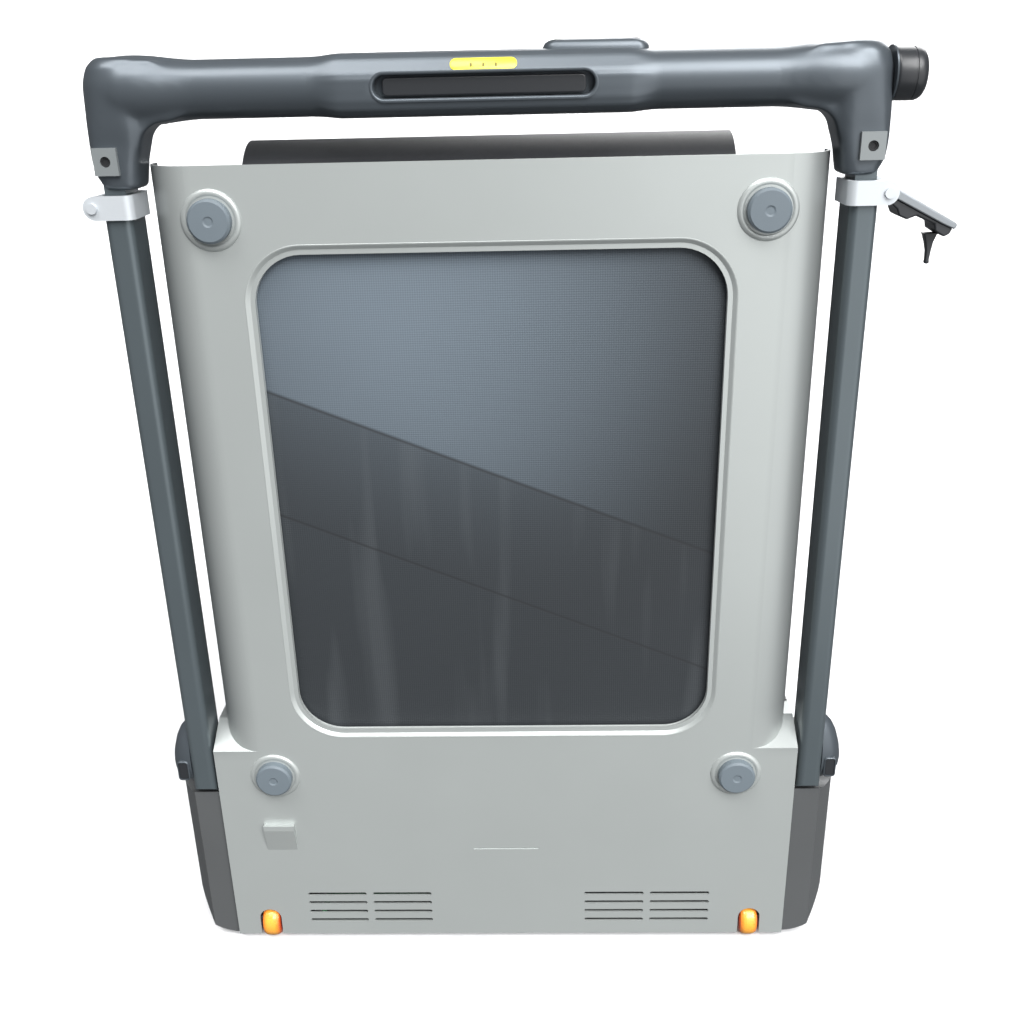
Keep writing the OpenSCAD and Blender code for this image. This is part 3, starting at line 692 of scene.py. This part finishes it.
g = Geo()
for x in (-290, -150, 0, 150, 290):
    screw(g, (x, 134, 185), (0, 1, 0), 4.2)
for x in (-290, 290):
    screw(g, (x, 134, 42), (0, 1, 0), 4.2)
make("hood_screws", g.v, g.f, screw_dark, "base", sharp=40)

# louvres of the hood
g = Geo()
for s in (-1, 1):
    for k in range(7):
        z = 92 + k * 11
        o = [(y, zz) for y, zz in rounded(0, z, 2.4, z + 5.5, 1.1, 4)]
        g.loft([[(s * 235 - 45, 133.2 + y, zz) for y, zz in o], [(s * 235 + 45, 133.2 + y, zz) for y, zz in o]])
make("hood_louvres", g.v, g.f, MATERIAL["dark_plastic"], "base", sharp=50)

g = Geo()
for sx in (-1, 1):
    for z in (330, 765):
        screw(g, (sx * 200, 144, z), (0, 1, 0), 3.6, 1.2)
    screw(g, (sx * 262, 120, 298), (0, 0, -1), 5.0, 2.0)
make("rear_screws", g.v, g.f, screw_dark, "rear_deck", sharp=40)

# ---------------------------------------------------------------- floor, light and camera

me = bpy.data.meshes.new("floor")
R = 40.0
prof = [(-R, 0.0), (0.0, 0.0)]
for k in range(33):
    a = math.radians(42 * k / 32)
    prof.append((2.5 + 6 * math.sin(a), 6 - 6 * math.cos(a)))
prof.append((prof[-1][0] + 30 * math.cos(a), prof[-1][1] + 30 * math.sin(a)))
fv, ff = [], []
for y, z in prof:
    fv += [(-R, y, z), (R, y, z)]
for i in range(len(prof) - 1):
    ff.append((2 * i, 2 * i + 1, 2 * i + 3, 2 * i + 2))
me.from_pydata(fv, [], ff)
for p in me.polygons:
    p.use_smooth = True
floor = bpy.data.objects.new("studio_floor", me)
bpy.context.scene.collection.objects.link(floor)
fm = plain("pale_floor", (240, 240, 241), 0.85, var=0.01, grain=60, bump=0.02, spec=0.1).m
me.materials.append(fm)

world = bpy.data.worlds.new("studio")
bpy.context.scene.world = world
world.use_nodes = True
bg = world.node_tree.nodes["Background"]
bg.inputs["Color"].default_value = (0.93, 0.96, 1, 1)
bg.inputs["Strength"].default_value = 0.2


def sun(name, toward, power, spread):
    """Soft light that comes from the direction `toward`."""
    d = bpy.data.lights.new(name, "SUN")
    d.energy = power
    d.angle = math.radians(spread)
    o = bpy.data.objects.new(name, d)
    bpy.context.scene.collection.objects.link(o)
    o.rotation_euler = Vector(toward).to_track_quat("Z", "Y").to_euler()


sun("key", (0.46, -0.95, 0.93), 4.3, 42)
d = bpy.data.lights.new("side", "AREA")
d.energy = 22
d.size = 2.4
side = bpy.data.objects.new("side", d)
bpy.context.scene.collection.objects.link(side)
side.location = (1.35, -1.75, 0.55)
side.rotation_euler = Vector((1.35, -1.75, 0.15)).to_track_quat("Z", "Y").to_euler()
sun("top", (-0.30, -0.40, 1.0), 1.8, 30)
sun("back", (0.35, 0.90, 0.60), 2.2, 40)
floor.visible_diffuse = False
floor.visible_glossy = False

# The camera: place, heading and lens worked out from matching points on both sides of the underside.
CAM_X, CAM_Y, CAM_Z = 44.9, -1004.3, 952.2
CAM_YAW, CAM_PITCH, CAM_ROLL = -1.687, 22.286, 1.356
CAM_LENS = 38.672
cd = bpy.data.cameras.new("camera")
cd.lens = CAM_LENS
cd.sensor_width = 36.0
cd.clip_start = 0.02
cd.clip_end = 100
cam = bpy.data.objects.new("camera", cd)
bpy.context.scene.collection.objects.link(cam)
yw, pt, rl = (math.radians(v) for v in (CAM_YAW, CAM_PITCH, CAM_ROLL))
fwd = Vector((math.sin(yw) * math.cos(pt), math.cos(yw) * math.cos(pt), -math.sin(pt)))
rgt = Vector((math.cos(yw), -math.sin(yw), 0))
dwn = fwd.cross(rgt)
rgt2 = rgt * math.cos(rl) + dwn * math.sin(rl)
dwn2 = -rgt * math.sin(rl) + dwn * math.cos(rl)
mat = Matrix((rgt2, -dwn2, -fwd)).transposed().to_4x4()
mat.translation = mm(CAM_X, CAM_Y, CAM_Z)
cam.matrix_world = mat
bpy.context.scene.camera = cam

view = bpy.context.scene.view_settings
view.view_transform = "Standard"
view.look = "None"
view.exposure = 0.0
